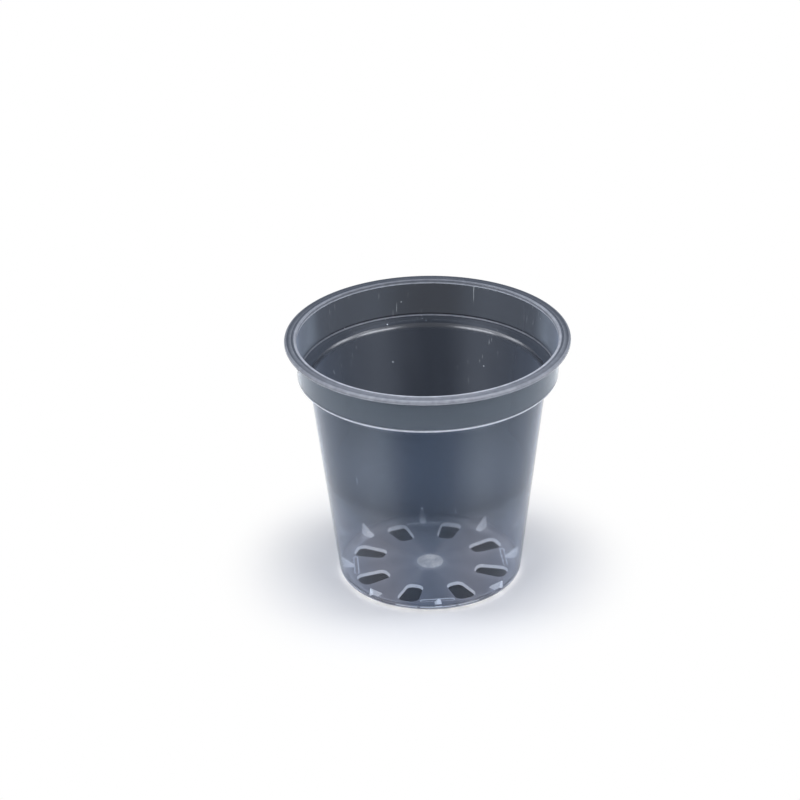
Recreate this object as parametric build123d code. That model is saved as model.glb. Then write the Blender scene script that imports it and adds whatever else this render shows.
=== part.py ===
from build123d import *
from math import sqrt
import os

# Clear orchid pot: one thin moulding with a lip, a collar, a stacking shoulder,
# a tapered wall and a floor with drain slots. It is divided at its own lines into
# rings and small pieces that meet face to face. Millimetres, +Z up, with the
# origin on the standing plane at the pot's axis.

# Overall
rim_diameter = 120.0
base_diameter = 78.8
pot_height = 112.0
wall_thickness = 1.0
seam_margin = 0.5
round_limit = 0.45  # share of a straight edge that the round at either end of it may take

# Lip: a flange with a turned-down edge
lip_overhang = 4.1
lip_thickness = 1.2
lip_skirt_drop = 0.8
lip_skirt_width = 1.6
lip_edge_round = 0.8
lip_skirt_round = 0.4
lip_root_fillet = 0.9
mouth_round = 0.5

# Collar
collar_depth = 16.5
collar_taper = 0.9
collar_root_fillet = 0.6

# Stacking shoulder
shoulder_width = 4.6
shoulder_thickness = 1.1
shoulder_corner_round = 0.9
shoulder_root_fillet = 0.5
shoulder_edge_round = 2.0

# Heel and floor
heel_round = 3.6
heel_inner_fillet = 2.0
foot_ring_width = 1.2
floor_lift = 0.8
floor_thickness = 1.5

# Drain slots
slot_count = 8
slot_length = 13.3
slot_inner_width = 6.4
slot_outer_width = 9.4
slot_inner_round = 2.6
slot_outer_round = 3.0
slot_margin = 0.8

# Stacking ribs in the corner between the floor and the wall, one between each two slots
rib_height = 4.8
rib_reach = 5.2
rib_base_width = 3.0
rib_top_width = 1.0
rib_gap = 0.3

# Foot bars under the floor
foot_count = 4
foot_length = 14.8
foot_width = 2.1
foot_inset = 2.5

# Gate pad under the middle of the floor
gate_diameter = 14.4
gate_thickness = 0.4
gate_edge = 0.3
gate_nub_diameter = 2.6
gate_nub_height = 0.2

# Heights of the forms, and of the seams between the rings
rim_radius = rim_diameter / 2
z_flange = pot_height - lip_thickness
z_skirt = z_flange - lip_skirt_drop
z_shoulder = pot_height - collar_depth
z_ledge = z_shoulder + shoulder_thickness
z_floor = floor_lift + floor_thickness
z_lip_seam = z_flange - lip_root_fillet - seam_margin
z_collar_seam = z_ledge + max(collar_root_fillet, shoulder_corner_round) + seam_margin
shoulder_edge_drop = max(shoulder_root_fillet, shoulder_edge_round - shoulder_thickness)
z_wall_seam = z_shoulder - shoulder_edge_drop - seam_margin
z_heel_seam = max(heel_round, z_floor + heel_inner_fillet) + seam_margin

# Outer radii: the collar narrows downwards, and the wall runs straight to the base
collar_top_radius = rim_radius - lip_overhang
collar_bottom_radius = collar_top_radius - collar_taper
wall_top_radius = collar_bottom_radius - shoulder_width
base_radius = base_diameter / 2


def collar_outside(z):
    """Outer radius of the collar at height z."""
    return collar_top_radius - collar_taper * (pot_height - z) / collar_depth


def collar_inside(z):
    """Inner radius of the collar at height z."""
    return collar_outside(z) - wall_thickness


def wall_outside(z):
    """Outer radius of the tapered wall at height z."""
    return base_radius + (wall_top_radius - base_radius) * z / z_shoulder


def wall_inside(z):
    """Inner radius of the tapered wall at height z."""
    return wall_outside(z) - wall_thickness


def turned(*corners):
    """Ring turned about the pot's axis from corners given as (radius, height, corner round)."""
    points = [(radius, height) for radius, height, _ in corners]
    rounds = [corner_round for _, _, corner_round in corners]
    outline = FilletPolyline(*points, radius=rounds, close=True)
    return revolve(Plane.XZ * make_face(outline), Axis.Z)


# Where the heel's round meets the standing plane, and the foot ring inside it
wall_lean = (wall_top_radius - base_radius) / z_shoulder
heel_run = heel_round * (sqrt(1 + wall_lean**2) - wall_lean)
foot_ring_outside = base_radius - heel_run
floor_radius = foot_ring_outside - foot_ring_width


def make_rim_lip():
    """Flange with a rounded, turned-down edge, and the root that joins the collar."""
    edge_round = min(lip_edge_round, round_limit * (lip_thickness + lip_skirt_drop))
    skirt_round = min(lip_skirt_round, round_limit * lip_skirt_drop)
    return turned(
        (collar_inside(z_lip_seam), z_lip_seam, 0),
        (collar_outside(z_lip_seam), z_lip_seam, 0),
        (collar_outside(z_flange), z_flange, lip_root_fillet),
        (rim_radius - lip_skirt_width, z_flange, skirt_round),
        (rim_radius - lip_skirt_width, z_skirt, skirt_round),
        (rim_radius, z_skirt, edge_round),
        (rim_radius, pot_height, edge_round),
        (collar_inside(pot_height), pot_height, mouth_round),
    )


def make_collar():
    """Plain tapered ring between the lip and the shoulder."""
    return turned(
        (collar_inside(z_collar_seam), z_collar_seam, 0),
        (collar_outside(z_collar_seam), z_collar_seam, 0),
        (collar_outside(z_lip_seam), z_lip_seam, 0),
        (collar_inside(z_lip_seam), z_lip_seam, 0),
    )


def make_shoulder():
    """Step where the pot widens: a flat ledge with a soft inner edge and rounded corners."""
    return turned(
        (wall_inside(z_wall_seam), z_wall_seam, 0),
        (wall_outside(z_wall_seam), z_wall_seam, 0),
        (wall_outside(z_shoulder), z_shoulder, shoulder_root_fillet),
        (collar_outside(z_shoulder), z_shoulder, shoulder_corner_round),
        (collar_outside(z_collar_seam), z_collar_seam, 0),
        (collar_inside(z_collar_seam), z_collar_seam, 0),
        (collar_inside(z_ledge), z_ledge, collar_root_fillet),
        (wall_inside(z_ledge), z_ledge, shoulder_edge_round),
    )


def make_side_wall():
    """Tapered wall from the heel up to the shoulder."""
    return turned(
        (wall_inside(z_heel_seam), z_heel_seam, 0),
        (wall_outside(z_heel_seam), z_heel_seam, 0),
        (wall_outside(z_wall_seam), z_wall_seam, 0),
        (wall_inside(z_wall_seam), z_wall_seam, 0),
    )


def make_heel_ring():
    """Rounded heel with the foot ring that the pot stands on."""
    return turned(
        (floor_radius, 0, 0),
        (base_radius, 0, heel_round),
        (wall_outside(z_heel_seam), z_heel_seam, 0),
        (wall_inside(z_heel_seam), z_heel_seam, 0),
        (wall_inside(z_floor), z_floor, heel_inner_fillet),
        (floor_radius, z_floor, 0),
    )


def make_floor():
    """Disc inside the foot ring, with a ring of wedge-shaped drain slots."""
    slot_end = floor_radius - slot_margin
    slot_start = slot_end - slot_length
    inner_half = slot_inner_width / 2
    outer_half = slot_outer_width / 2
    inner_round = min(slot_inner_round, round_limit * slot_inner_width)
    outer_round = min(slot_outer_round, round_limit * slot_outer_width)
    outline = FilletPolyline(
        (slot_start, -inner_half),
        (slot_end, -outer_half),
        (slot_end, outer_half),
        (slot_start, inner_half),
        radius=[inner_round, outer_round, outer_round, inner_round],
        close=True,
    )
    slot = make_face(outline)
    pitch = 360 / slot_count
    slots = [Rot(0, 0, pitch * (k + 0.5)) * slot for k in range(slot_count)]
    return Pos(0, 0, floor_lift) * extrude(Circle(floor_radius) - slots, floor_thickness)


def make_rib():
    """Triangular rib along +X, wide at the floor, fitted into the corner of floor and wall."""
    z_top = z_floor + rib_height
    back_bottom = wall_inside(z_floor) - rib_gap
    back_top = wall_inside(z_top) - rib_gap
    side = Polyline(
        (wall_inside(z_floor) - rib_reach, z_floor),
        (wall_inside(z_top), z_floor),
        (wall_inside(z_top), z_top),
        close=True,
    )
    front = Polyline(
        (-rib_base_width / 2, z_floor),
        (rib_base_width / 2, z_floor),
        (rib_top_width / 2, z_top),
        (-rib_top_width / 2, z_top),
        close=True,
    )
    inside_of_pot = turned(
        (0, z_floor, 0),
        (back_bottom, z_floor, heel_inner_fillet),
        (back_top, z_top, 0),
        (0, z_top, 0),
    )
    blank = extrude(Plane.XZ * make_face(side), rib_base_width, both=True)
    blank &= extrude(Plane.YZ * make_face(front), rim_radius)
    # Turned by half a pitch, so that the seam line of the turned shape falls between two ribs
    half_pitch = 180 / slot_count
    return blank & (Rot(0, 0, half_pitch) * inside_of_pot)


def make_foot_bar():
    """Round-ended bar across +X, under the floor."""
    bar = extrude(SlotOverall(foot_length, foot_width), floor_lift)
    return Pos(floor_radius - foot_inset, 0, 0) * Rot(0, 0, 90) * bar


def make_gate_pad():
    """Shallow pad with a nub where the plastic flowed in."""
    z_pad = floor_lift - gate_thickness
    z_nub = z_pad - gate_nub_height
    pad_radius = gate_diameter / 2
    nub_radius = gate_nub_diameter / 2
    section = Polyline(
        (0, floor_lift),
        (0, z_nub),
        (nub_radius, z_nub),
        (nub_radius, z_pad),
        (pad_radius - gate_edge, z_pad),
        (pad_radius, floor_lift),
        close=True,
    )
    return revolve(Plane.XZ * make_face(section), Axis.Z)


nodes = {
    "rim_lip": make_rim_lip(),
    "collar": make_collar(),
    "stacking_shoulder": make_shoulder(),
    "side_wall": make_side_wall(),
    "heel_ring": make_heel_ring(),
    "slotted_floor": make_floor(),
    "gate_pad": make_gate_pad(),
}
rib = make_rib()
for k in range(slot_count):
    nodes[f"stacking_rib_{k + 1}"] = Rot(0, 0, 360 / slot_count * k) * rib
foot_bar = make_foot_bar()
for k in range(foot_count):
    nodes[f"foot_bar_{k + 1}"] = Rot(0, 0, 360 / foot_count * k) * foot_bar

os.makedirs("parts", exist_ok=True)
for name, solid in nodes.items():
    export_step(solid, f"parts/{name}.step")
    print(f"{name}: {solid.volume:.1f} cubic mm")
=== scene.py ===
# %% [markdown]
# # A clear orchid pot
# The real pot is one thin moulding of clear polypropylene: a turned-down lip, a collar, a stacking
# shoulder, a tapered wall and a floor with drain slots. Clear plastic is judged by its two skins and by
# the light that runs between them, so the looks are built as one closed skin with a real wall
# thickness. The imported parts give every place, and this script adds only roundings, the small marks
# of moulding and wear, and the finishes.

# %% Load the frame
from math import ceil, cos, degrees, pi, radians, sin, tan

import bmesh
import bpy
from mathutils import Matrix, Quaternion, Vector


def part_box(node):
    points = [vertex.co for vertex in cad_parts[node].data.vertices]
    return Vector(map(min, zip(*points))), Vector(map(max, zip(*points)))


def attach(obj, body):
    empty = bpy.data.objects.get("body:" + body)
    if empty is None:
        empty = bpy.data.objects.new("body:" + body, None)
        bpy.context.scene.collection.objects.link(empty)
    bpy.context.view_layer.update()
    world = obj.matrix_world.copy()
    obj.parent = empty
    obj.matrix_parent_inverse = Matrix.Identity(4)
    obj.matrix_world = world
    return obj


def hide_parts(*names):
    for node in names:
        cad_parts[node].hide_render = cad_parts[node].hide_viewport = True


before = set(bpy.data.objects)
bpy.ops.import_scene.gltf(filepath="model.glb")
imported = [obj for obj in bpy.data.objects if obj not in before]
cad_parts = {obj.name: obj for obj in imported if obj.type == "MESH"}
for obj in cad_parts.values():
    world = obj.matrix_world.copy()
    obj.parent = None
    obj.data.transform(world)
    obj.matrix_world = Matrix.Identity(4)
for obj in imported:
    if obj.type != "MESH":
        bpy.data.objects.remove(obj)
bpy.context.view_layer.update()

MM = 0.001

# %% [markdown]
# ## Reading sizes from the frame
# Each ring of the pot was packed as its own node, so a node's box already holds the radius and the
# heights at its two seams. Two seams of one cone give the whole cone. Only what a box can't show, such
# as a thickness or a round, is written again here. The ledge inside the shoulder is a little thinner
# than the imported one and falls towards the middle, because a moulded step sags as it cools.

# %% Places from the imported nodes
_, lip_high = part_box("rim_lip")
_, collar_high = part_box("collar")
_, shoulder_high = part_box("stacking_shoulder")
_, wall_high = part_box("side_wall")
_, heel_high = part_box("heel_ring")
floor_low, floor_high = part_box("slotted_floor")

rim_radius = lip_high.x
pot_height = lip_high.z
floor_radius = floor_high.x
floor_under = floor_low.z
floor_top = floor_high.z

WALL = 1.0 * MM
COLLAR_DEPTH = 16.95 * MM
LEDGE_THICKNESS = 0.6 * MM
LEDGE_FALL = 0.8 * MM
LIP_THICKNESS = 1.2 * MM
LIP_SKIRT_DROP = 0.8 * MM
LIP_SKIRT_WIDTH = 1.6 * MM

shoulder_z = pot_height - COLLAR_DEPTH
shoulder_root_z = shoulder_z - LEDGE_FALL
ledge_z = shoulder_z + LEDGE_THICKNESS
ledge_edge_z = ledge_z - LEDGE_FALL
flange_z = pot_height - LIP_THICKNESS
skirt_z = flange_z - LIP_SKIRT_DROP


def cone_radius(z, first, second):
    """Radius at height z of the cone through two (radius, height) points."""
    share = (z - first[1]) / (second[1] - first[1])
    return first[0] + (second[0] - first[0]) * share


def collar_radius(z):
    """Outer radius of the collar at height z."""
    return cone_radius(z, (shoulder_high.x, shoulder_high.z), (collar_high.x, collar_high.z))


def wall_radius(z):
    """Outer radius of the tapered wall at height z."""
    return cone_radius(z, (heel_high.x, heel_high.z), (wall_high.x, wall_high.z))


print(f"rim {2 * rim_radius / MM:.1f} mm, base {2 * wall_radius(0) / MM:.1f} mm")

# %% [markdown]
# ## Which finish goes where
# The pot is one plastic, but the eye meets seven surfaces: the polished outside, the inside that lay
# against the core, the bends that gather light, the satin edge of the ledge, the cloudy floor, the ground
# faces of slots and ribs, and the milky gate, whose finish also gives the rim of the heel its painted
# highlight. Each face is given the number of its finish as soon as it is made, because a boolean keeps
# that number. Sorting the faces by place afterwards would need many tests.

# %% Finish numbers
# The last finish is the milky gate and the painted highlight of the heel
OUTSIDE, INSIDE, BEND, SATIN, FLOOR, GROUND, MILKY_AND_HEEL_LIGHT = range(7)
print("finishes:", MILKY_AND_HEEL_LIGHT + 1)

# %% [markdown]
# ## Outlines with rounded corners
# A mould maker draws this pot as one section and turns it. The corners carry the character: soft where
# the plastic flows round, tighter at the skirt of the lip. Each corner is a point with a radius, and
# one function replaces it by an arc. A bevel modifier could round the corners too, but it gives one
# radius for all of them. A corner can also have a fade, which adds a point beyond each end of its arc,
# so that a finish can die away there.

# %% Outlines with rounded corners
ARC_STEP = radians(9)
BEFORE, ARC, AFTER = range(3)


def trace_outline(corners, closed=True):
    """Points of an outline of (x, y, radius, fade) corners, as (point, corner number, place on corner)."""
    traced = []
    count = len(corners)
    for k, (x, y, radius, fade) in enumerate(corners):
        here = Vector((x, y))
        is_end = not closed and k in (0, count - 1)
        if radius == 0 or is_end:
            traced.append((here, k, AFTER))
            continue
        to_before = (Vector(corners[k - 1][:2]) - here).normalized()
        to_after = (Vector(corners[(k + 1) % count][:2]) - here).normalized()
        opening = to_before.angle(to_after)
        reach = radius / tan(opening / 2)
        centre = here + (to_before + to_after).normalized() * (radius / sin(opening / 2))
        first = (here + to_before * reach - centre).normalized()
        last = (here + to_after * reach - centre).normalized()
        steps = ceil((pi - opening) / ARC_STEP)
        if fade:
            traced.append((here + to_before * (reach + fade), k, BEFORE))
        for step in range(steps + 1):
            traced.append((centre + first.slerp(last, step / steps) * radius, k, ARC))
        if fade:
            traced.append((here + to_after * (reach + fade), k, AFTER))
    return traced


def rounded_outline(corners):
    """Points of a closed outline whose corners are (x, y, radius)."""
    return [point for point, _, _ in trace_outline([(*corner, 0) for corner in corners])]


print(f"one step of an arc: {degrees(ARC_STEP):.0f} degrees")

# %% [markdown]
# ## Rounds and fine forms
# What makes the pot look moulded is small: a round heel, a soft shoulder, a lip without a sharp edge. A
# fine groove in the lip is where the stripper ring of the mould met the core, and the inner edge of the
# ledge is a large soft curve. A box can't show any of these, so they are written here in millimetres.
# They could stand inside the list of corners that follows, but with names they are easier to find.

# %% Rounds and fine forms
FOOT_ROUND = 0.25 * MM
HEEL_ROUND = 3.6 * MM
SHOULDER_ROOT_ROUND = 2.6 * MM
SHOULDER_ROUND = 1.2 * MM
LIP_ROOT_ROUND = 0.9 * MM
SKIRT_ROUND = 0.36 * MM
LIP_ROUND = 0.8 * MM
BEND_FADE = 0.3 * MM
GROOVE_WIDTH = 0.5 * MM
GROOVE_DEPTH = 0.15 * MM
GROOVE_FROM_EDGE = 3.1 * MM
GROOVE_ROUND = 0.1 * MM
MOUTH_PALE = 1.0 * MM
MOUTH_FADE = 0.4 * MM
MOUTH_DEPTH = 1.5 * MM
MOUTH_ROUND = 0.5 * MM
COLLAR_ROOT_ROUND = 0.6 * MM
LEDGE_EDGE_CUT = 2.15 * MM
LEDGE_EDGE_ROUND = 4.0 * MM
FLOOR_ROOT_ROUND = 2.0 * MM

skirt_radius = rim_radius - LIP_SKIRT_WIDTH
groove_radius = rim_radius - GROOVE_FROM_EDGE
groove_outer = groove_radius + GROOVE_WIDTH / 2
groove_inner = groove_radius - GROOVE_WIDTH / 2
mouth_radius = collar_radius(pot_height) - WALL
mouth_end_z = pot_height - MOUTH_DEPTH
edge_foot_z = ledge_edge_z - LEDGE_EDGE_CUT
edge_radius = wall_radius(edge_foot_z) - WALL
print(f"mouth {2 * mouth_radius / MM:.1f} mm wide, groove {2 * groove_radius / MM:.1f} mm")

# %% [markdown]
# ## Section of the moulding
# The list starts at the foot ring, climbs the outside to the lip and comes down the inside to the
# floor. Clear plastic looks brightest at its bends, where light that ran along inside the wall comes
# out, so each bend also has a glow from 0 to 1. The mouth has a pale edge for the same reason: a strip
# on top of the lip, and another on the collar just below it. Only the lower half of the ledge's edge
# gets the satin finish, because that half faces the light. A curve object could hold the section too,
# but not the finish and the glow of each corner.

# %% Section
section_corners = [
    # radius, height, round, fade, finish and glow of the bend, finish and glow of the face that follows
    (floor_radius, floor_under, 0, 0, GROUND, 0, GROUND, 0),
    (floor_radius, 0, FOOT_ROUND, 0, GROUND, 0, GROUND, 0),
    (wall_radius(0), 0, HEEL_ROUND, 0, OUTSIDE, 0, OUTSIDE, 0),
    (wall_radius(shoulder_root_z), shoulder_root_z, SHOULDER_ROOT_ROUND, 0, OUTSIDE, 0, OUTSIDE, 0),
    (collar_radius(shoulder_z), shoulder_z, SHOULDER_ROUND, BEND_FADE, BEND, 1.0, OUTSIDE, 0),
    (collar_radius(flange_z), flange_z, LIP_ROOT_ROUND, 0, OUTSIDE, 0, OUTSIDE, 0),
    (skirt_radius, flange_z, SKIRT_ROUND, 0, INSIDE, 0, INSIDE, 0),
    (skirt_radius, skirt_z, SKIRT_ROUND, 0, INSIDE, 0, INSIDE, 0),
    (rim_radius, skirt_z, LIP_ROUND, 0, BEND, 0.5, BEND, 0),
    (rim_radius, pot_height, LIP_ROUND, BEND_FADE, BEND, 0.5, BEND, 0.04),
    (groove_outer, pot_height, GROOVE_ROUND, 0, BEND, 0.3, BEND, 0.02),
    (groove_radius, pot_height - GROOVE_DEPTH, GROOVE_ROUND, 0, BEND, 0.02, BEND, 0.02),
    (groove_inner, pot_height, GROOVE_ROUND, 0, BEND, 0.12, BEND, 0.06),
    (mouth_radius + MOUTH_PALE + MOUTH_FADE, pot_height, 0, 0, BEND, 0, BEND, 0.08),
    (mouth_radius + MOUTH_PALE, pot_height, 0, 0, BEND, 0, BEND, 1.0),
    (mouth_radius, pot_height, MOUTH_ROUND, 0, BEND, 0.9, BEND, 0),
    (collar_radius(mouth_end_z) - WALL, mouth_end_z, 0, 0, BEND, 0, INSIDE, 1.0),
    (collar_radius(ledge_z) - WALL, ledge_z, COLLAR_ROOT_ROUND, 0, BEND, 0.25, INSIDE, 0),
    (edge_radius + LEDGE_EDGE_CUT, ledge_edge_z, LEDGE_EDGE_ROUND, 0, INSIDE, 0, INSIDE, 0),
    (edge_radius, edge_foot_z, LEDGE_EDGE_ROUND, 0, SATIN, 0, INSIDE, 0),
    (wall_radius(floor_top) - WALL, floor_top, FLOOR_ROOT_ROUND, 0, FLOOR, 0, FLOOR, 0),
    (floor_radius, floor_top, 0, 0, FLOOR, 0, FLOOR, 0),
]
section = trace_outline([corner[:4] for corner in section_corners], closed=False)
print("section points:", len(section))

# %% [markdown]
# ## Painted light on the heel and the lip
# The lowest rim of the heel carries a painted highlight: a milky line that glows and dies away upwards.
# The bends of the lip are painted to glow fully at the front and a fifth as much at the back, and the
# flats between them are painted pale at the front too. The glow is a number on each point of the mesh,
# because it then changes smoothly across a face. A number on each face would show as steps.

# %% Finish and glow along the section
# Painted highlight on the rim of the heel, and painted light on the front of the lip
HEEL_LIGHT_TOP = 2.5 * MM
HEEL_LIGHT_FADE = 1.2 * MM
BACK_GLOW_SHARE = 0.2
FRONT_PAINTED_LIGHT = 0.3


def glow_at(k):
    """Glow of point k of the section."""
    point, corner, place_on_corner = section[k]
    _, _, _, _, bend, bend_glow, _, face_glow = section_corners[corner]
    # On the outside only the rim of the heel glows, as a painted highlight
    if bend == OUTSIDE:
        return min(1.0, max(0.0, (HEEL_LIGHT_TOP - point.y) / HEEL_LIGHT_FADE))
    glow_before = section_corners[corner - 1][-1]
    return {BEFORE: glow_before, ARC: bend_glow, AFTER: face_glow}[place_on_corner]


def front_lit_glow(k, angle):
    """Glow of point k of the section at an angle round the pot, painted brighter at the front, which is at
    minus 90 degrees.
    """
    if section[k][0].y <= mouth_end_z:
        return glow_at(k)
    # Painted light: the lip glows most at the front and least at the back
    front_light_share = (1 + BACK_GLOW_SHARE) / 2 - (1 - BACK_GLOW_SHARE) / 2 * sin(angle)
    return max(glow_at(k) * front_light_share, -sin(angle) * FRONT_PAINTED_LIGHT)


def finish_after(k):
    """Finish of the strip between points k and k + 1 of the section."""
    _, _, _, _, bend, _, face, _ = section_corners[section[k][1]]
    finish = bend if section[k][1] == section[k + 1][1] else face
    # The rim of the heel takes the milky finish as a painted highlight, and the strip above it dies away
    # as a bend does
    if finish == OUTSIDE and glow_at(k) > 0:
        return MILKY_AND_HEEL_LIGHT if glow_at(k + 1) == 1 else BEND
    return finish


print("glowing points:", sum(glow_at(k) > 0 for k in range(len(section))))

# %% [markdown]
# ## Turning the section
# The section is copied round the axis and skinned with quads. A screw modifier would do that too, but
# it couldn't give each strip its finish and each point its glow. The floor is left as one flat face
# on each side, which is the easiest thing to cut slots from.

# %% Turned body
SEGMENTS = 240


def turned_mesh(name, segments):
    """Closed mesh made by turning the section, with a flat floor above and below."""
    bm = bmesh.new()
    glow = bm.verts.layers.float.new("glow")
    columns = []
    for turn in range(segments):
        angle = 2 * pi * turn / segments
        column = []
        for k, (point, _, _) in enumerate(section):
            vertex = bm.verts.new((point.x * cos(angle), point.x * sin(angle), point.y))
            vertex[glow] = front_lit_glow(k, angle)
            column.append(vertex)
        columns.append(column)
    for column, following in zip(columns, columns[1:] + columns[:1]):
        for k in range(len(section) - 1):
            strip = bm.faces.new((column[k], column[k + 1], following[k + 1], following[k]))
            strip.material_index = finish_after(k)
    for end in (0, -1):
        disc = bm.faces.new([column[end] for column in columns])
        disc.material_index = FLOOR
    bmesh.ops.recalc_face_normals(bm, faces=bm.faces)
    mesh = bpy.data.meshes.new(name)
    bm.to_mesh(mesh)
    bm.free()
    return mesh


def add_object(name, mesh):
    """Object for a mesh, linked to the scene."""
    made = bpy.data.objects.new(name, mesh)
    bpy.context.scene.collection.objects.link(made)
    return made


pot = add_object("pot_moulding", turned_mesh("pot_moulding", SEGMENTS))
print("turned faces:", len(pot.data.polygons))

# %% [markdown]
# ## Small solids for cutting and joining
# Slots, ribs, foot bars and the gate pad are all stacks of outlines, so one function makes them: it
# skins a list of outlines from the lowest to the highest. A boolean then cuts or joins a whole set at
# once, as the steel of the mould would. Empty material slots are there first, so that the numbers of
# the finishes come through it. Joined solids run a little way into the moulding, because two faces in
# the same plane would confuse the boolean, and cutters stand clear of it for the same reason.

# %% Stacks of outlines
SUNK = 0.5 * MM
CLEAR = 1.0 * MM


def add_stack(bm, layers, side_finish, end_finish, turn=0.0):
    """Adds a solid through (outline, height) layers, with a finish for its sides and one for its ends."""
    about_axis = Matrix.Rotation(turn, 3, "Z")
    rings = []
    for outline, z in layers:
        rings.append([bm.verts.new(about_axis @ Vector((x, y, z))) for x, y in outline])
    for ring, above in zip(rings, rings[1:]):
        for j in range(len(ring)):
            side = bm.faces.new((ring[j - 1], ring[j], above[j], above[j - 1]))
            side.material_index = side_finish
    for ring in (rings[0], rings[-1]):
        end = bm.faces.new(ring)
        end.material_index = end_finish


def combine(body, bm, operation):
    """Cuts or joins the solids of bm with the body, and keeps the result as the body's mesh."""
    bmesh.ops.recalc_face_normals(bm, faces=bm.faces)
    tool_mesh = bpy.data.meshes.new("tool")
    bm.to_mesh(tool_mesh)
    bm.free()
    tool = add_object("tool", tool_mesh)
    for mesh in (body.data, tool_mesh):
        while len(mesh.materials) <= MILKY_AND_HEEL_LIGHT:
            mesh.materials.append(None)
    boolean = body.modifiers.new("boolean", "BOOLEAN")
    boolean.operation = operation
    boolean.solver = "EXACT"
    boolean.object = tool
    result = body.evaluated_get(bpy.context.evaluated_depsgraph_get())
    body.data = bpy.data.meshes.new_from_object(result)
    body.modifiers.clear()
    bpy.data.objects.remove(tool)
    print(f"faces after {operation.lower()}: {len(body.data.polygons)}")


print(f"joined solids sink in by {SUNK / MM:.1f} mm, cutters stand clear by {CLEAR / MM:.1f} mm")

# %% [markdown]
# ## Drain slots
# Eight wedge-shaped slots let water out and air in. Moulded slots have a soft edge where the steel
# core met the floor, and the pale cut faces are what the eye finds first. The cutter flares at both
# faces of the floor, so the cut leaves the soft edge by itself. A bevel after the boolean would have to
# find those edges again.

# %% Drain slots
SLOT_COUNT = 8
SLOT_LENGTH = 13.3 * MM
SLOT_MARGIN = 0.8 * MM
SLOT_INNER_WIDTH = 6.4 * MM
SLOT_OUTER_WIDTH = 9.4 * MM
SLOT_INNER_ROUND = 2.6 * MM
SLOT_OUTER_ROUND = 3.0 * MM
SLOT_EDGE = 0.25 * MM
SLOT_FLARE = 0.4 * MM
SLOT_EDGE_STEPS = 4
pitch = 2 * pi / SLOT_COUNT


def slot_outline(grow):
    """Wedge outline of a slot along +X, grown outwards all round."""
    end = floor_radius - SLOT_MARGIN + grow
    start = floor_radius - SLOT_MARGIN - SLOT_LENGTH - grow
    inner = SLOT_INNER_WIDTH / 2 + grow
    outer = SLOT_OUTER_WIDTH / 2 + grow
    return rounded_outline(
        [
            (start, -inner, SLOT_INNER_ROUND + grow),
            (end, -outer, SLOT_OUTER_ROUND + grow),
            (end, outer, SLOT_OUTER_ROUND + grow),
            (start, inner, SLOT_INNER_ROUND + grow),
        ]
    )


slot_layers = [(slot_outline(SLOT_EDGE), floor_under - CLEAR)]
for step in range(SLOT_EDGE_STEPS + 1):
    angle = pi / 2 * step / SLOT_EDGE_STEPS
    grow = SLOT_EDGE * (1 - sin(angle))
    slot_layers.append((slot_outline(grow), floor_under + SLOT_EDGE * (1 - cos(angle))))
slot_layers.append((slot_outline(SLOT_FLARE), floor_top))
slot_layers.append((slot_outline(SLOT_FLARE), floor_top + CLEAR))

slots = bmesh.new()
for k in range(SLOT_COUNT):
    add_stack(slots, slot_layers, GROUND, GROUND, pitch * (k + 0.5))
combine(pot, slots, "DIFFERENCE")

# %% [markdown]
# ## Foot bars
# Four round-ended bars under the floor keep it off the bench, so that water can run out. Where the
# floor is thick above a bar, the plastic shrinks more as it cools, and a shallow sink mark is left on
# top. Seen from above, that mark is how a bar shows: a pale outline on the cloudy floor. It is cut as
# a real hollow, because a bump in the material would not catch the light at its edge.

# %% Foot bars
FOOT_COUNT = 4
BAR_EDGE = 0.3 * MM
ALMOST_HALF = 0.499
SINK_EDGE = 0.4 * MM
SINK_DEPTH = 0.15 * MM
bar_low, bar_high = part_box("foot_bar_1")


def bar_outline(shrink):
    """Round-ended bar across the X axis."""
    side = bar_high.x - bar_low.x - 2 * shrink
    reach = bar_high.y - shrink
    middle = (bar_low.x + bar_high.x) / 2
    corner = side * ALMOST_HALF
    return rounded_outline(
        [
            (middle - side / 2, -reach, corner),
            (middle + side / 2, -reach, corner),
            (middle + side / 2, reach, corner),
            (middle - side / 2, reach, corner),
        ]
    )


bar_layers = [
    (bar_outline(BAR_EDGE), 0),
    (bar_outline(0), BAR_EDGE),
    (bar_outline(0), floor_under + SUNK),
]
sink_layers = [
    (bar_outline(SINK_EDGE), floor_top - SINK_DEPTH),
    (bar_outline(0), floor_top),
    (bar_outline(0), floor_top + CLEAR),
]
bars = bmesh.new()
sinks = bmesh.new()
for k in range(FOOT_COUNT):
    add_stack(bars, bar_layers, GROUND, FLOOR, 2 * pi * k / FOOT_COUNT)
    add_stack(sinks, sink_layers, GROUND, FLOOR, 2 * pi * k / FOOT_COUNT)
combine(pot, bars, "UNION")
combine(pot, sinks, "DIFFERENCE")

# %% [markdown]
# ## Gate pad
# In the middle is the pad where the plastic flowed in, with the nub that is left when the runner breaks
# off. The core has a shallow dimple above it, which steers the hot plastic outwards. Both are stacks of
# circles.

# %% Gate pad
GATE_EDGE = 0.3 * MM
GATE_THICKNESS = 0.4 * MM
NUB_RADIUS = 1.3 * MM
DIMPLE_RADIUS = 5.8 * MM
DIMPLE_DEPTH = 0.2 * MM
CIRCLE_POINTS = 48
pad_low, pad_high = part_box("gate_pad")
pad_z = floor_under - GATE_THICKNESS


def circle_outline(radius):
    """Points round a circle about the axis."""
    angles = [2 * pi * k / CIRCLE_POINTS for k in range(CIRCLE_POINTS)]
    return [(radius * cos(angle), radius * sin(angle)) for angle in angles]


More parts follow.
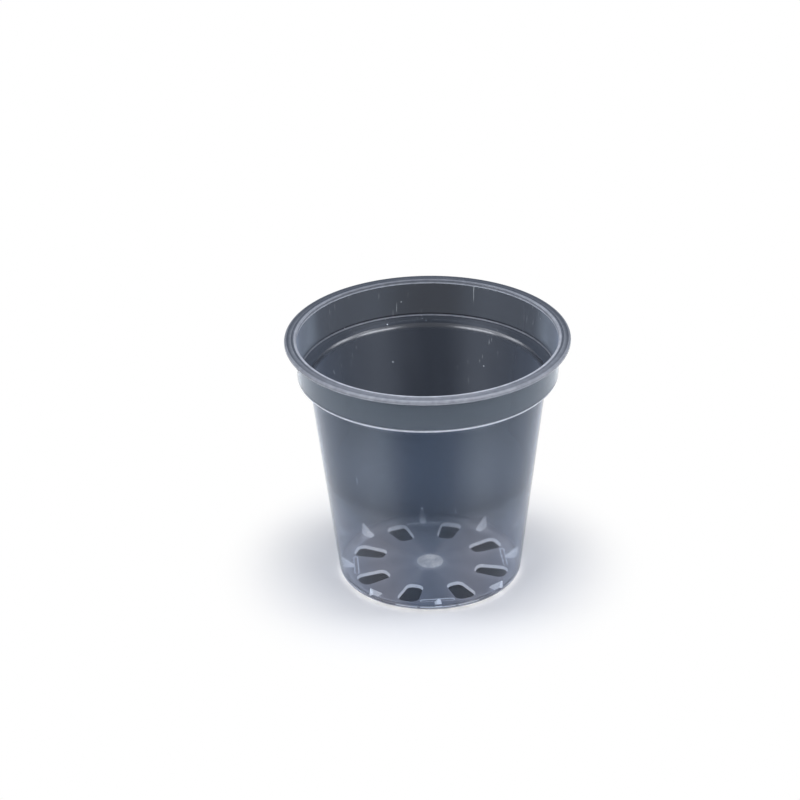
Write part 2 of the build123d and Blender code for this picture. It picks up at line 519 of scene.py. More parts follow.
pad_layers = [
    (circle_outline(NUB_RADIUS), pad_low.z),
    (circle_outline(NUB_RADIUS), pad_z),
    (circle_outline(pad_high.x - GATE_EDGE), pad_z),
    (circle_outline(pad_high.x), floor_under),
    (circle_outline(pad_high.x), floor_under + SUNK),
]
dimple_layers = [
    (circle_outline(DIMPLE_RADIUS - DIMPLE_DEPTH), floor_top - DIMPLE_DEPTH),
    (circle_outline(DIMPLE_RADIUS), floor_top),
    (circle_outline(DIMPLE_RADIUS), floor_top + CLEAR),
]
pad = bmesh.new()
add_stack(pad, pad_layers, MILKY_AND_HEEL_LIGHT, MILKY_AND_HEEL_LIGHT)
combine(pot, pad, "UNION")
dimple = bmesh.new()
add_stack(dimple, dimple_layers, MILKY_AND_HEEL_LIGHT, MILKY_AND_HEEL_LIGHT)
combine(pot, dimple, "DIFFERENCE")

# %% [markdown]
# ## Stacking ribs
# Eight ribs stand in the corner of floor and wall, so that nested pots don't jam. Every pot that was
# pulled out of the stack has scraped them, so they are pale all over and their front edges are worn to
# small flats. Each rib is a stack of two outlines, wide at the floor and narrow at the top.

# %% Stacking ribs
RIB_HEIGHT = 4.8 * MM
RIB_TOP_WIDTH = 1.0 * MM
RIB_FLAT = 0.45 * MM
RIB_TOP_FLAT = 0.3 * MM
rib_low, rib_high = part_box("stacking_rib_1")
rib_apex = floor_top + RIB_HEIGHT
rib_top_front = wall_radius(rib_apex) - WALL
rib_slope = (rib_top_front - rib_low.x) / RIB_HEIGHT
rib_draft = (rib_high.y - RIB_TOP_WIDTH / 2) / RIB_HEIGHT
rib_back = wall_radius(floor_top) - WALL / 2


def rib_outline(front, back, half_width, flat):
    """Rectangle along +X whose two front corners are cut by small flats."""
    return [
        (front, half_width - flat),
        (front, flat - half_width),
        (front + flat, -half_width),
        (back, -half_width),
        (back, half_width),
        (front + flat, half_width),
    ]


rib_foot_front = rib_low.x - rib_slope * SUNK
rib_foot_half = rib_high.y + rib_draft * SUNK
rib_layers = [
    (rib_outline(rib_foot_front, rib_back, rib_foot_half, RIB_FLAT), floor_top - SUNK),
    (rib_outline(rib_top_front, rib_back + SUNK, RIB_TOP_WIDTH / 2, RIB_TOP_FLAT), rib_apex),
]
ribs = bmesh.new()
for k in range(SLOT_COUNT):
    add_stack(ribs, rib_layers, GROUND, GROUND, pitch * k)
combine(pot, ribs, "UNION")

# %% [markdown]
# ## Helpers for the finishes
# Colours are written as sRGB hex values, which are easy to compare with a picture, and turned to linear
# light by one function. A second one adds a node. A third starts a material and puts its constants on
# the shader's own sockets, where an export finds them.

# %% Material helpers
def linear(hex_colour):
    """Linear RGBA of an sRGB hex colour such as 7F8FA6."""
    channels = []
    for k in (0, 2, 4):
        value = int(hex_colour[k:k + 2], 16) / 255
        channels.append(value / 12.92 if value <= 0.04045 else ((value + 0.055) / 1.055) ** 2.4)
    return (*channels, 1.0)


def add_node(tree, kind, inputs, **settings):
    """Adds a shader node with its settings, and sets or links its inputs."""
    made = tree.nodes.new("ShaderNode" + kind)
    for name, value in settings.items():
        setattr(made, name, value)
    for name, value in inputs.items():
        if isinstance(value, bpy.types.NodeSocket):
            tree.links.new(value, made.inputs[name])
        else:
            made.inputs[name].default_value = value
    return made


def new_material(name, constants):
    """Material with constants on its Principled shader, returned with its tree and that shader."""
    material = bpy.data.materials.new(name)
    material.use_nodes = True
    shader = material.node_tree.nodes["Principled BSDF"]
    for socket, value in constants.items():
        shader.inputs[socket].default_value = value
    print("material:", name)
    return material, material.node_tree, shader


print(f"half-way grey 808080 in linear light: {linear('808080')[0]:.3f}")

# %% [markdown]
# ## Front, sides and heights
# The wall isn't equally pale all round. It is darkest in the middle of the front and of the back, and
# paler at the sides, where it is seen at a low angle; that difference is painted reflection, and the front
# is the side that faces the camera. The wall also changes from the base to the lip. Two helpers give these
# places as a number from 0 to 1. Both read the pot's own coordinates, so the pattern stays on the pot from
# every side.

# %% Places on the pot
FRONT_TURN = radians(-5)


def sideways(tree, start, end):
    """Socket from 0 to 1 between two shares of the way from the middle of the front to the sides."""
    place = add_node(tree, "TexCoord", {})
    level = add_node(tree, "VectorMath", {0: place.outputs["Object"], 1: (1, 1, 0)}, operation="MULTIPLY")
    outward = add_node(tree, "VectorMath", {0: level.outputs["Vector"]}, operation="NORMALIZE")
    across = add_node(
        tree,
        "VectorMath",
        {0: outward.outputs["Vector"], 1: (cos(FRONT_TURN), sin(FRONT_TURN), 0)},
        operation="DOT_PRODUCT",
    )
    aside = add_node(tree, "Math", {0: across.outputs["Value"]}, operation="ABSOLUTE")
    share = add_node(
        tree,
        "MapRange",
        {"Value": aside.outputs[0], "From Min": start, "From Max": end},
        interpolation_type="SMOOTHSTEP",
    )
    return share.outputs["Result"]


def between_heights(tree, start, end, most=1.0):
    """Socket that goes smoothly from 0 at the start height to the most at the end height."""
    place = add_node(tree, "TexCoord", {})
    axes = add_node(tree, "SeparateXYZ", {"Vector": place.outputs["Object"]})
    share = add_node(
        tree,
        "MapRange",
        {"Value": axes.outputs["Z"], "From Min": start, "From Max": end, "To Max": most},
        interpolation_type="SMOOTHSTEP",
    )
    return share.outputs["Result"]


print(f"middle of the front turned by {degrees(FRONT_TURN):.0f} degrees")

# %% [markdown]
# ## Weld bands and painted sides
# The plastic starts at the gate, parts round the eight slots and meets again behind each of them. The
# meeting lines run up the wall as soft pale bands, one above each slot. A cosine of eight times the angle
# gives the bands, and a slow noise keeps them from being even. Fine upright streaks come from the flow
# itself. They are a few tenths of a millimetre wide on the pot, which is too fine to show, so they are
# drawn several millimetres wide. All of it is mixed with the paler sides, which are painted reflection.

# %% Weld bands and painted sides
# Painted reflection: the wall grows paler towards the sides between these two shares of the way
SIDE_FROM = 0.17
SIDE_TO = 0.5
WANDER_SIZE = 28 * MM
WANDER_PHASE = 2.2
BAND_SHARE = 0.3
STREAK_SIZE = 5 * MM
STREAK_STRETCH = 0.06
STREAK_SHARE = 0.2


def weld_bands_and_painted_sides(tree):
    """Socket from 0, in the middle of the front and of the back, to 1, at the painted paler sides and on
    pale bands.
    """
    place = add_node(tree, "TexCoord", {})
    wander = add_node(tree, "TexNoise", {"Vector": place.outputs["Object"], "Scale": 1 / WANDER_SIZE})
    axes = add_node(tree, "SeparateXYZ", {"Vector": place.outputs["Object"]})
    angle = add_node(tree, "Math", {0: axes.outputs["Y"], 1: axes.outputs["X"]}, operation="ARCTAN2")
    eightfold = add_node(tree, "Math", {0: angle.outputs[0], 1: SLOT_COUNT}, operation="MULTIPLY")
    phase = add_node(
        tree,
        "Math",
        {0: wander.outputs["Fac"], 1: WANDER_PHASE, 2: eightfold.outputs[0]},
        operation="MULTIPLY_ADD",
    )
    wave = add_node(tree, "Math", {0: phase.outputs[0]}, operation="COSINE")
    # The wave from -1 to 1 becomes a band from 1 to 0
    band = add_node(tree, "Math", {0: wave.outputs[0], 1: -0.5, 2: 0.5}, operation="MULTIPLY_ADD")
    mixed = add_node(
        tree,
        "Mix",
        {"Factor": BAND_SHARE, "A": sideways(tree, SIDE_FROM, SIDE_TO), "B": band.outputs[0]},
        data_type="FLOAT",
    )
    upright = add_node(
        tree, "VectorMath", {0: place.outputs["Object"], 1: (1, 1, STREAK_STRETCH)}, operation="MULTIPLY"
    )
    streaks = add_node(tree, "TexNoise", {"Vector": upright.outputs["Vector"], "Scale": 1 / STREAK_SIZE})
    streaked = add_node(
        tree,
        "Mix",
        {"Factor": STREAK_SHARE, "A": mixed.outputs["Result"], "B": streaks.outputs["Fac"]},
        data_type="FLOAT",
    )
    return streaked.outputs["Result"]


print(f"{SLOT_COUNT} weld bands, streaks of {STREAK_SIZE / MM:.0f} mm")

# %% [markdown]
# ## Outside: clear polypropylene from a polished cavity
# Polypropylene is never quite as clear as glass: it is bluish where thin and has a slight haze. The
# cavity of the mould is polished, so the outside is glossy and light goes nearly straight through. A
# little of the base colour is left to scatter, which gives the haze. The grey tint of the gloss keeps
# the pale floor from veiling the wall.

# %% Polished outside
POLYPROPYLENE_IOR = 1.49
OUTSIDE_GLOSS = "7C8894"

# A polished skin: glossy, clear and faintly hazy, so the eye sees through it to the floor and the ribs
outside_material, tree, shader = new_material(
    "clear_polypropylene_polished",
    {
        "Transmission Weight": 0.85,
        "Roughness": 0.05,
        "IOR": POLYPROPYLENE_IOR,
        "Specular Tint": linear(OUTSIDE_GLOSS),
    },
)

# %% [markdown]
# ## Tint of the outside
# The bluish tint follows the weld bands and the painted paler sides. These fade out where the wall turns
# away at the very edge, so there the tint goes back to its darkest, which is painted shade. The collar is
# paler than the wall, and the base is greyer. A volume could tint the plastic instead, but it costs far
# more light paths and an export loses it. So the tint is the base colour, which light takes on each time
# that it goes through the skin.

# %% Tint of the outside
OUTSIDE_DARK = "8299BC"
OUTSIDE_PALE = "DCEBFF"
OUTSIDE_COLLAR = "DEEEFF"
OUTSIDE_BASE_DARK = "7E8CA2"
OUTSIDE_BASE_PALE = "9A9CA6"
COLLAR_SHARE = 0.85
COLLAR_FADE = 1 * MM
TURN_FROM = 0.5
TURN_TO = 0.98
TURN_SHARE = 0.9
WALL_TINT_FROM = 70 * MM
BASE_TINT_FROM = 30 * MM

# Painted shade at the very edge, where the bands and the paler sides fade out
turning = sideways(tree, TURN_FROM, TURN_TO)
kept = add_node(tree, "Math", {0: turning, 1: -TURN_SHARE, 2: 1.0}, operation="MULTIPLY_ADD")
bands = add_node(tree, "Math", {0: weld_bands_and_painted_sides(tree), 1: kept.outputs[0]}, operation="MULTIPLY")
wall_tint = add_node(
    tree,
    "Mix",
    {"Factor": bands.outputs[0], "A": linear(OUTSIDE_DARK), "B": linear(OUTSIDE_PALE)},
    data_type="RGBA",
)
on_collar = between_heights(tree, shoulder_z - COLLAR_FADE, shoulder_z + COLLAR_FADE, COLLAR_SHARE)
upper_tint = add_node(
    tree,
    "Mix",
    {"Factor": on_collar, "A": wall_tint.outputs["Result"], "B": linear(OUTSIDE_COLLAR)},
    data_type="RGBA",
)
base_tint = add_node(
    tree,
    "Mix",
    {"Factor": bands.outputs[0], "A": linear(OUTSIDE_BASE_DARK), "B": linear(OUTSIDE_BASE_PALE)},
    data_type="RGBA",
)
near_base = between_heights(tree, WALL_TINT_FROM, BASE_TINT_FROM)
outside_tint = add_node(
    tree,
    "Mix",
    {"Factor": near_base, "A": upper_tint.outputs["Result"], "B": base_tint.outputs["Result"]},
    data_type="RGBA",
)
tree.links.new(outside_tint.outputs["Result"], shader.inputs["Base Color"])
print("nodes of the outside:", len(tree.nodes))

# %% [markdown]
# ## Painted light at the sides of the collar
# The inside of the collar is painted paler on its left and right, where it is seen at a low angle: painted
# light. The two helpers for sides and heights are enough for that: where both are 1, the inner skin is
# paler. Painting the place by hand would do as well, but then it couldn't be moved by changing a number.

# %% Painted light at the sides of the collar
SIDE_LIGHT_FROM = 0.84
SIDE_LIGHT_TO = 0.94
SIDE_LIGHT_FADE = 4 * MM


def painted_side_light(tree):
    """Socket from 0 to 1 at the left and right of the collar, where light is painted."""
    on_collar = between_heights(tree, ledge_z, ledge_z + SIDE_LIGHT_FADE)
    at_sides = sideways(tree, SIDE_LIGHT_FROM, SIDE_LIGHT_TO)
    both = add_node(tree, "Math", {0: at_sides, 1: on_collar}, operation="MULTIPLY")
    return both.outputs[0]


print(f"rubbed from {SIDE_LIGHT_FROM:.2f} of the way to the sides")

# %% [markdown]
# ## Scratches and specks
# The inside of a used pot has fine upright scratches, which come in patches, and a few specks of dust.
# Stretched noise gives the scratches, and Voronoi cells give the specks, one small dot in the middle of
# a cell. A real scratch is a few hundredths of a millimetre wide and a real speck about a tenth, so both
# are drawn coarser here in order to show.

# %% Scratches and specks
SCRATCH_SPACING = 0.9 * MM
SCRATCH_STRETCH = 0.02
SCRATCH_FROM = 0.68
SCRATCH_TO = 0.84
PATCH_SIZE = 18 * MM
PATCH_FROM = 0.5
PATCH_TO = 0.65
SPECK_SPACING = 8 * MM
SPECK_RADIUS = 0.35 * MM


def marks(tree):
    """Socket that is 1 on fine upright scratches and on specks, and 0 elsewhere."""
    place = add_node(tree, "TexCoord", {})
    upright = add_node(
        tree, "VectorMath", {0: place.outputs["Object"], 1: (1, 1, SCRATCH_STRETCH)}, operation="MULTIPLY"
    )
    lines = add_node(tree, "TexNoise", {"Vector": upright.outputs["Vector"], "Scale": 1 / SCRATCH_SPACING})
    scratch = add_node(
        tree,
        "MapRange",
        {"Value": lines.outputs["Fac"], "From Min": SCRATCH_FROM, "From Max": SCRATCH_TO},
    )
    patches = add_node(tree, "TexNoise", {"Vector": place.outputs["Object"], "Scale": 1 / PATCH_SIZE})
    patch = add_node(
        tree, "MapRange", {"Value": patches.outputs["Fac"], "From Min": PATCH_FROM, "From Max": PATCH_TO}
    )
    scratched = add_node(
        tree, "Math", {0: scratch.outputs["Result"], 1: patch.outputs["Result"]}, operation="MULTIPLY"
    )
    cells = add_node(tree, "TexVoronoi", {"Vector": place.outputs["Object"], "Scale": 1 / SPECK_SPACING})
    speck_edge = SPECK_RADIUS / SPECK_SPACING
    speck = add_node(
        tree,
        "MapRange",
        {"Value": cells.outputs["Distance"], "From Min": speck_edge, "From Max": speck_edge / 2},
    )
    either = add_node(
        tree, "Math", {0: scratched.outputs[0], 1: speck.outputs["Result"]}, operation="MAXIMUM"
    )
    return either.outputs[0]


print(f"specks of {2 * SPECK_RADIUS / MM:.1f} mm, one in {SPECK_SPACING / MM:.0f} mm")

# %% [markdown]
# ## Inside: clear polypropylene from a fine core
# The core of the mould is less polished than the cavity, and its fine finish brightens the wall where it
# is seen at a low angle. A sheen gives that. More roughness would too, but it would also blur the floor
# and the ribs behind the wall.

# %% Inside with painted shade
INSIDE_GLOSS = "505860"
INSIDE_SHEEN = "A8B2C4"
SHEEN_ROUGHNESS = 0.48

# A skin from a fine steel core, with painted shade that makes it dark when looked through, and soft light
# at low angles
inside_material, tree, shader = new_material(
    "clear_polypropylene_painted_shade",
    {
        "Transmission Weight": 0.97,
        "IOR": POLYPROPYLENE_IOR,
        "Specular Tint": linear(INSIDE_GLOSS),
        "Roughness": 0.03,
        "Sheen Weight": 1.0,
        "Sheen Roughness": SHEEN_ROUGHNESS,
        "Sheen Tint": linear(INSIDE_SHEEN),
    },
)

# %% [markdown]
# ## Painted shade of the inside
# The clear wall is given a dark look, which clears only near the base, where the ribs and slots show
# through. On a pale floor fully clear plastic would look white, so the dark look is painted shade: the
# inner skin carries a dark tint that thins out towards the base, and the outer skin stays clear. Putting
# the tint on one skin keeps it in one place to adjust. The painted light at the sides of the collar and
# the marks let more light through.

# %% Painted shade of the inside
# Painted shade: a dark tint on the inner skin makes the clear wall look shaded, and it thins out towards
# the base
PAINTED_SHADE_DEEP = "0D0D0F"
PAINTED_SHADE_THIN = "1A1C21"
# Painted light: a thinner tint at the left and right of the collar
PAINTED_SIDE_LIGHT_TINT = "3A3F47"
UNSHADED_WHITE = "FFFFFF"
PAINTED_SHADE_FROM = 52 * MM
PAINTED_SHADE_GONE = 26 * MM

banded_shade = add_node(
    tree,
    "Mix",
    {"Factor": weld_bands_and_painted_sides(tree), "A": linear(PAINTED_SHADE_DEEP), "B": linear(PAINTED_SHADE_THIN)},
    data_type="RGBA",
)
side_lit_shade = add_node(
    tree,
    "Mix",
    {"Factor": painted_side_light(tree), "A": banded_shade.outputs["Result"], "B": linear(PAINTED_SIDE_LIGHT_TINT)},
    data_type="RGBA",
)
clearing = between_heights(tree, PAINTED_SHADE_FROM, PAINTED_SHADE_GONE)
painted_shade = add_node(
    tree,
    "Mix",
    {"Factor": clearing, "A": side_lit_shade.outputs["Result"], "B": linear(UNSHADED_WHITE)},
    data_type="RGBA",
)
marked = add_node(
    tree,
    "Mix",
    {"Factor": marks(tree), "A": painted_shade.outputs["Result"], "B": linear(UNSHADED_WHITE)},
    data_type="RGBA",
)
tree.links.new(marked.outputs["Result"], shader.inputs["Base Color"])
print("nodes of the inside:", len(tree.nodes))

# %% [markdown]
# ## Edge of the ledge: satin polypropylene
# The soft edge of the ledge is where each nested pot slides, so its polish is dulled to a satin. That
# spreads the reflection of the lamps into the long pale streak on the far side of the mouth. A coat with
# some roughness gives the streak, and the painted shade under it stays as dark as the wall. The coat's IOR
# is above that of the plastic, because the streak was too weak with the plastic's own.

# %% Satin edge of the ledge
SATIN_SHEEN = "9CA6B8"
SATIN_ROUGHNESS = 0.2
COAT_ROUGHNESS = 0.26
COAT_IOR = 1.9

# A skin dulled by nesting: a wide soft highlight over painted shade
satin_material, tree, shader = new_material(
    "clear_polypropylene_satin",
    {
        "Transmission Weight": 0.97,
        "IOR": POLYPROPYLENE_IOR,
        "Specular IOR Level": 1.0,
        "Roughness": SATIN_ROUGHNESS,
        "Coat Weight": 1.0,
        "Coat Roughness": COAT_ROUGHNESS,
        "Coat IOR": COAT_IOR,
        "Sheen Weight": 1.0,
        "Sheen Roughness": SHEEN_ROUGHNESS,
        "Sheen Tint": linear(SATIN_SHEEN),
    },
)
# Painted shade under the satin, as on the inner skin
satin_shade = add_node(
    tree,
    "Mix",
    {"Factor": weld_bands_and_painted_sides(tree), "A": linear(PAINTED_SHADE_DEEP), "B": linear(PAINTED_SHADE_THIN)},
    data_type="RGBA",
)
tree.links.new(satin_shade.outputs["Result"], shader.inputs["Base Color"])

# %% [markdown]
# ## Bends: clear polypropylene that gathers light
# Light that runs along inside a clear sheet leaves it where the sheet bends, so the lip, the mouth and the
# shoulder are pale lines on a dark pot. Tracing that light would take thousands of samples. Here the glow
# on the points mixes a dim colour with a pale one, so the lines are painted light, and most of it scatters
# instead of going through. Soft patches break the painted line up.

# %% Bends
MOTTLE_FROM = 0.3
MOTTLE_TO = 0.7
BEND_DIM = "414854"
BEND_PALE = "ECF0FA"
BEND_SHEEN = "BCC6D6"
BEND_PATCH = 3 * MM
LEAST_GLOW = 0.7


def mottling(tree, size):
    """Socket from 0 to 1 with soft patches of about the given size."""
    place = add_node(tree, "TexCoord", {})
    patches = add_node(tree, "TexNoise", {"Vector": place.outputs["Object"], "Scale": 1 / size})
    spread = add_node(
        tree, "MapRange", {"Value": patches.outputs["Fac"], "From Min": MOTTLE_FROM, "From Max": MOTTLE_TO}
    )
    return spread.outputs["Result"]


# A bend with painted light: pale where light leaves the plastic, with a fine gloss over it
bend_material, tree, shader = new_material(
    "clear_polypropylene_bend",
    {
        "Transmission Weight": 0.2,
        "IOR": POLYPROPYLENE_IOR,
        "Roughness": 0.15,
        "Sheen Weight": 0.4,
        "Sheen Roughness": 0.36,
        "Sheen Tint": linear(BEND_SHEEN),
    },
)
glow = add_node(tree, "Attribute", {}, attribute_name="glow")
# Soft patches in the painted glow
glow_patches = add_node(
    tree, "Mix", {"Factor": mottling(tree, BEND_PATCH), "A": LEAST_GLOW, "B": 1.0}, data_type="FLOAT"
)
patchy = add_node(tree, "Math", {0: glow.outputs["Fac"], 1: glow_patches.outputs["Result"]}, operation="MULTIPLY")
bend_tint = add_node(
    tree,
    "Mix",
    {"Factor": patchy.outputs[0], "A": linear(BEND_DIM), "B": linear(BEND_PALE)},
    data_type="RGBA",
)
tree.links.new(bend_tint.outputs["Result"], shader.inputs["Base Color"])

# %% [markdown]
# ## Floor: cloudy polypropylene
# The floor is the thickest part. It cools slowly, so the plastic crystallises more there and turns cloudy,
# with a paler blush round the gate. The weld bands and the painted paler sides run over it as well. Most
# of the light scatters, and a quarter still goes through, so the dark card of painted shade under the pot
# darkens it.

# %% Cloudy floor
FLOOR_DIM = "B4BAC6"
FLOOR_PALE = "E0E0E6"
FLOOR_BLUSH = "DCE0E8"
BLUSH_INNER = 6.2 * MM
BLUSH_OUTER = 8.4 * MM

# A thick moulded disc: milky grey, smooth, with faint rays from the gate
floor_material, tree, shader = new_material(
    "clear_polypropylene_cloudy",
    {"Transmission Weight": 0.25, "IOR": POLYPROPYLENE_IOR, "Roughness": 0.1},
)
place = add_node(tree, "TexCoord", {})
level = add_node(tree, "VectorMath", {0: place.outputs["Object"], 1: (1, 1, 0)}, operation="MULTIPLY")
from_gate = add_node(tree, "VectorMath", {0: level.outputs["Vector"]}, operation="LENGTH")
blush = add_node(
    tree,
    "MapRange",
    {"Value": from_gate.outputs["Value"], "From Min": BLUSH_OUTER, "From Max": BLUSH_INNER},
    interpolation_type="SMOOTHSTEP",
)
flow = add_node(
    tree,
    "Mix",
    {"Factor": weld_bands_and_painted_sides(tree), "A": linear(FLOOR_DIM), "B": linear(FLOOR_PALE)},
    data_type="RGBA",
)
cloud = add_node(
    tree,
    "Mix",
    {"Factor": blush.outputs["Result"], "A": flow.outputs["Result"], "B": linear(FLOOR_BLUSH)},
    data_type="RGBA",
)
tree.links.new(cloud.outputs["Result"], shader.inputs["Base Color"])

# %% [markdown]
# ## Slots and ribs: ground polypropylene
# Slots and ribs come from steel inserts that are only ground, not polished. The fine scratches of the
# grinding make these faces matt and nearly white. Light piped along the clear sheet also leaves
# it at such cut edges, and a weak emission stands in for it. A brighter colour alone couldn't do it,
# because the edges lie in the shade of the pot. The grit of the scratches is far too fine to show, so
# it is drawn as soft patches of a millimetre or two.

# %% Ground edges
GROUND_DIM = "D4DCE8"
GROUND_PALE = "FCFDFF"
GROUND_LIGHT = "F2F4F8"
GROUND_PATCH = 1.5 * MM

# A skin from ground steel: matt, pale and a little patchy, brightest at the cut edges
ground_material, tree, shader = new_material(
    "clear_polypropylene_ground",
    {
        "Transmission Weight": 0.1,
        "IOR": POLYPROPYLENE_IOR,
        "Roughness": 0.3,
        "Emission Color": linear(GROUND_LIGHT),
        "Emission Strength": 0.6,
    },
)
ground_tint = add_node(
    tree,
    "Mix",
    {"Factor": mottling(tree, GROUND_PATCH), "A": linear(GROUND_DIM), "B": linear(GROUND_PALE)},
    data_type="RGBA",
)
tree.links.new(ground_tint.outputs["Result"], shader.inputs["Base Color"])

# %% [markdown]
# ## Gate and heel: milky polypropylene, and a painted highlight on the heel
# The gate freezes last and is torn off, so the plastic round it is stressed and white, in patches of a few
# millimetres. It is the palest spot of the floor, and the rim of the heel takes the same finish as a
# painted highlight.
# Noise of that size mixes a grey with a warm white, and a weaker emission than at the cut edges stands
# for the light that gathers there.

# %% Milky gate and painted highlight of the heel
MILKY_DIM = "9EA2A8"
MILKY_PALE = "FFFDF8"
MILKY_LIGHT = "FBF7F4"
MILKY_PATCH = 4 * MM

# Torn or stressed plastic round the gate, and the painted highlight of the heel: chalky white and patchy,
# without gloss
milky_material, tree, shader = new_material(
    "clear_polypropylene_milky_and_heel_light",
    {
        "Transmission Weight": 0.2,
        "IOR": POLYPROPYLENE_IOR,
        "Roughness": 0.35,
        "Emission Color": linear(MILKY_LIGHT),
        "Emission Strength": 0.3,
    },
)
milky_tint = add_node(
    tree,
    "Mix",
    {"Factor": mottling(tree, MILKY_PATCH), "A": linear(MILKY_DIM), "B": linear(MILKY_PALE)},
    data_type="RGBA",
)
tree.links.new(milky_tint.outputs["Result"], shader.inputs["Base Color"])

# %% [markdown]
# ## Finished moulding
# The finishes go into the slots that their numbers have been waiting for. Faces are shaded smooth, and
# only real corners stay sharp. The large flat floor would bend the shading of the small faces next to
# it, so the normals are weighted by the size of each face. Nothing on this pot moves, so it rides the
# root body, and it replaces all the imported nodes.

# %% Finished moulding
SHARP_ANGLE = radians(24)
finishes = {
    OUTSIDE: outside_material,
    INSIDE: inside_material,
    BEND: bend_material,
    SATIN: satin_material,
    FLOOR: floor_material,
    GROUND: ground_material,
    MILKY_AND_HEEL_LIGHT: milky_material,
}
for number, material in finishes.items():
    pot.data.materials[number] = material
for face in pot.data.polygons:
    face.use_smooth = True
pot.data.set_sharp_from_angle(angle=SHARP_ANGLE)
normals = pot.modifiers.new("even_normals", "WEIGHTED_NORMAL")
normals.keep_sharp = True
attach(pot, "root")
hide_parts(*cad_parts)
for number, material in finishes.items():
    print(material.name, sum(face.material_index == number for face in pot.data.polygons), "faces")

# %% [markdown]
# ## Stage
# A wide sheet of white paper is the floor. Under the pot, inside the foot ring, lies a round dark card,
# which is painted shade: it makes the slots look into shade as they do on a bench. Both are flat sheets a
# hair below the pot, and both belong to the stage and not to the part.

# %% Stage sheets
FLOOR_SIZE = 30.0
FLOOR_GAP = 0.05 * MM
CARD_GAP = 0.02 * MM
CARD_MARGIN = 0.3 * MM
PAPER_WHITE = "FBFBFB"
PAINTED_SHADE_BLACK = "0C0D10"


def add_stage_sheet(name, outline, z, colour):
    """Flat sheet of matt paper that belongs to the stage and not to the pot."""
    mesh = bpy.data.meshes.new(name)
    mesh.from_pydata([(x, y, z) for x, y in outline], [], [range(len(outline))])
    sheet = add_object(name, mesh)
    matt = {"Base Color": linear(colour), "Roughness": 0.9, "Specular IOR Level": 0.0}
    paper, tree, shader = new_material(name, matt)
    mesh.materials.append(paper)
    return tree, shader


half = FLOOR_SIZE / 2
square = [(-half, -half), (half, -half), (half, half), (-half, half)]
paper_tree, paper_shader = add_stage_sheet("white_paper", square, -FLOOR_GAP, PAPER_WHITE)
# Painted shade: a dark card under the pot, where the floor would only be shaded
add_stage_sheet("painted_shade_card", circle_outline(floor_radius - CARD_MARGIN), -CARD_GAP, PAINTED_SHADE_BLACK)

# %% [markdown]
# ## White background
# A picture of this kind has a pure white ground, which lit paper never quite reaches. Beyond the shadow
# of the pot the paper therefore turns to plain white for rays that look at it, directly, in a
# reflection or through the plastic. It lights nothing, because diffuse rays still see the lit paper.
# Near the pot the paper stays paper, so the shadow is kept.

# %% White background
SHADOW_REACH = 42 * MM
WHITE_FROM = 95 * MM

rays = add_node(paper_tree, "LightPath", {})
seen = add_node(
    paper_tree,
    "Math",
    {0: rays.outputs["Is Camera Ray"], 1: rays.outputs["Is Glossy Ray"]},
    operation="MAXIMUM",
)
seen_or_through = add_node(
    paper_tree,
    "Math",
    {0: seen.outputs[0], 1: rays.outputs["Is Transmission Ray"]},
    operation="MAXIMUM",
)
place = add_node(paper_tree, "TexCoord", {})
from_pot = add_node(paper_tree, "VectorMath", {0: place.outputs["Object"]}, operation="LENGTH")
far = add_node(
    paper_tree,
    "MapRange",
    {"Value": from_pot.outputs["Value"], "From Min": SHADOW_REACH, "From Max": WHITE_FROM},
    interpolation_type="SMOOTHSTEP",
)
white_share = add_node(
    paper_tree, "Math", {0: seen_or_through.outputs[0], 1: far.outputs["Result"]}, operation="MULTIPLY"
)
white = add_node(paper_tree, "Emission", {"Color": linear("FFFFFF"), "Strength": 1.0})
paper_mix = add_node(
    paper_tree, "MixShader", {0: white_share.outputs[0], 1: paper_shader.outputs[0], 2: white.outputs[0]}
)
paper_tree.links.new(paper_mix.outputs[0], paper_tree.nodes["Material Output"].inputs["Surface"])
print(f"white from {WHITE_FROM / MM:.0f} mm")

# %% [markdown]
# ## Room
# The room is a plain dim grey, which fills the shadows a little. A picture of a studio could light the
# scene instead, but soft lamps in an even room are easier to follow and to change.

# %% Room
ROOM_COLOUR = "F0F1F4"
ROOM_STRENGTH = 0.2
scene = bpy.context.scene
world = bpy.data.worlds.new("studio")
world.use_nodes = True
world.node_tree.nodes["Background"].inputs["Color"].default_value = linear(ROOM_COLOUR)
world.node_tree.nodes["Background"].inputs["Strength"].default_value = ROOM_STRENGTH
scene.world = world
print("room strength:", ROOM_STRENGTH)

# %% [markdown]
# ## Lamps
# Plain soft studio light: two softboxes above, two at the sides and two in front, all a little cool. The
# upper pair lights the lip, the side pair the ends of the mouth, and the front pair draws the streak on
# the edge of the ledge. Each lamp is given by where it stands and by how bright its cloth looks, and its
# power follows from its size.

# %% Lamps
CAMERA_AZIMUTH = -5
LAMP_COLOUR = "F4F7FF"


def around(azimuth, elevation, distance):
    """Point round the pot. Angles are in degrees: azimuth 0 is the camera's side and 90 its right."""
    turn = radians(azimuth + CAMERA_AZIMUTH)
    rise = radians(elevation)
    return Vector((sin(turn) * cos(rise), -cos(turn) * cos(rise), sin(rise))) * distance


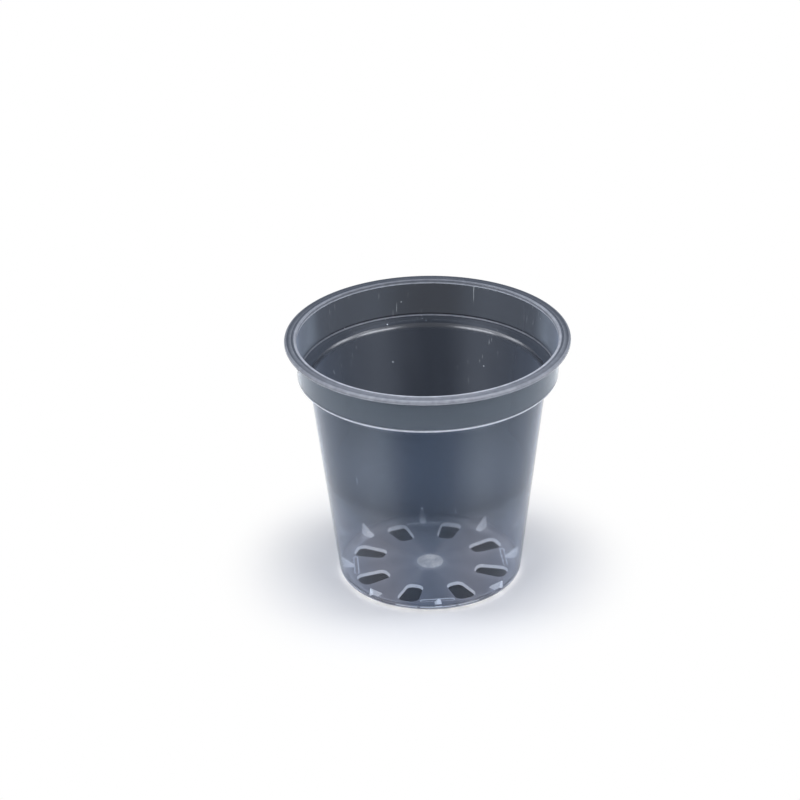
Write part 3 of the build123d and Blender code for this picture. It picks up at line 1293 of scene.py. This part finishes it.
def add_softbox(name, azimuth, elevation, distance, width, tall, radiance):
    """Area lamp that faces the pot. A radiance of 1 looks white."""
    lamp = bpy.data.lights.new(name, "AREA")
    lamp.shape = "RECTANGLE"
    lamp.color = linear(LAMP_COLOUR)[:3]
    lamp.size = width
    lamp.size_y = tall
    lamp.energy = radiance * pi * width * tall
    holder = bpy.data.objects.new(name, lamp)
    holder.location = around(azimuth, elevation, distance)
    holder.rotation_euler = holder.location.to_track_quat("Z", "Y").to_euler()
    scene.collection.objects.link(holder)
    print(f"{name}: {lamp.energy:.1f} W")


# name, azimuth and elevation in degrees, distance, width and height in metres, radiance
add_softbox("top_left_softbox", -88, 68, 1.2, 0.5, 0.9, 3.4)
add_softbox("top_right_softbox", 88, 68, 1.2, 0.5, 0.9, 3.6)
add_softbox("left_softbox", -95, 32, 1.3, 0.5, 0.4, 3.0)
add_softbox("right_softbox", 95, 32, 1.3, 0.5, 0.4, 3.0)
add_softbox("front_left_softbox", -52, 30, 1.3, 0.8, 0.4, 4.4)
add_softbox("front_right_softbox", 52, 30, 1.3, 0.8, 0.4, 4.4)

# %% [markdown]
# ## Camera
# The camera stands about a metre away and looks down into the pot from a little above. A long lens keeps
# the sides of the pot nearly straight. The pot is not quite in the middle of the picture and leans by
# less than a degree, so the lens is shifted and the camera rolled by as much. The Standard view shows
# colours as they are written.

# %% Camera
IMAGE_SIDE = 800
FOCAL_PIXELS = 2638
SENSOR_WIDTH = 36
TARGET = Vector((0, 0, 54 * MM))
TARGET_PIXEL = (429.0, 457.0)
CAMERA_DISTANCE = 1131.3 * MM
CAMERA_ELEVATION = 28.751
CAMERA_ROLL = radians(-0.74)

camera_data = bpy.data.cameras.new("camera")
camera_data.sensor_width = SENSOR_WIDTH
camera_data.lens = FOCAL_PIXELS / IMAGE_SIDE * SENSOR_WIDTH
camera_data.shift_x = (IMAGE_SIDE / 2 - TARGET_PIXEL[0]) / IMAGE_SIDE
camera_data.shift_y = (TARGET_PIXEL[1] - IMAGE_SIDE / 2) / IMAGE_SIDE
camera = bpy.data.objects.new("camera", camera_data)
back = around(0, CAMERA_ELEVATION, CAMERA_DISTANCE)
camera.location = TARGET + back
camera.rotation_mode = "QUATERNION"
camera.rotation_quaternion = (-back).to_track_quat("-Z", "Y") @ Quaternion((0, 0, 1), CAMERA_ROLL)
scene.collection.objects.link(camera)
scene.camera = camera
scene.view_settings.view_transform = "Standard"
print(f"lens: {camera_data.lens:.1f} mm")
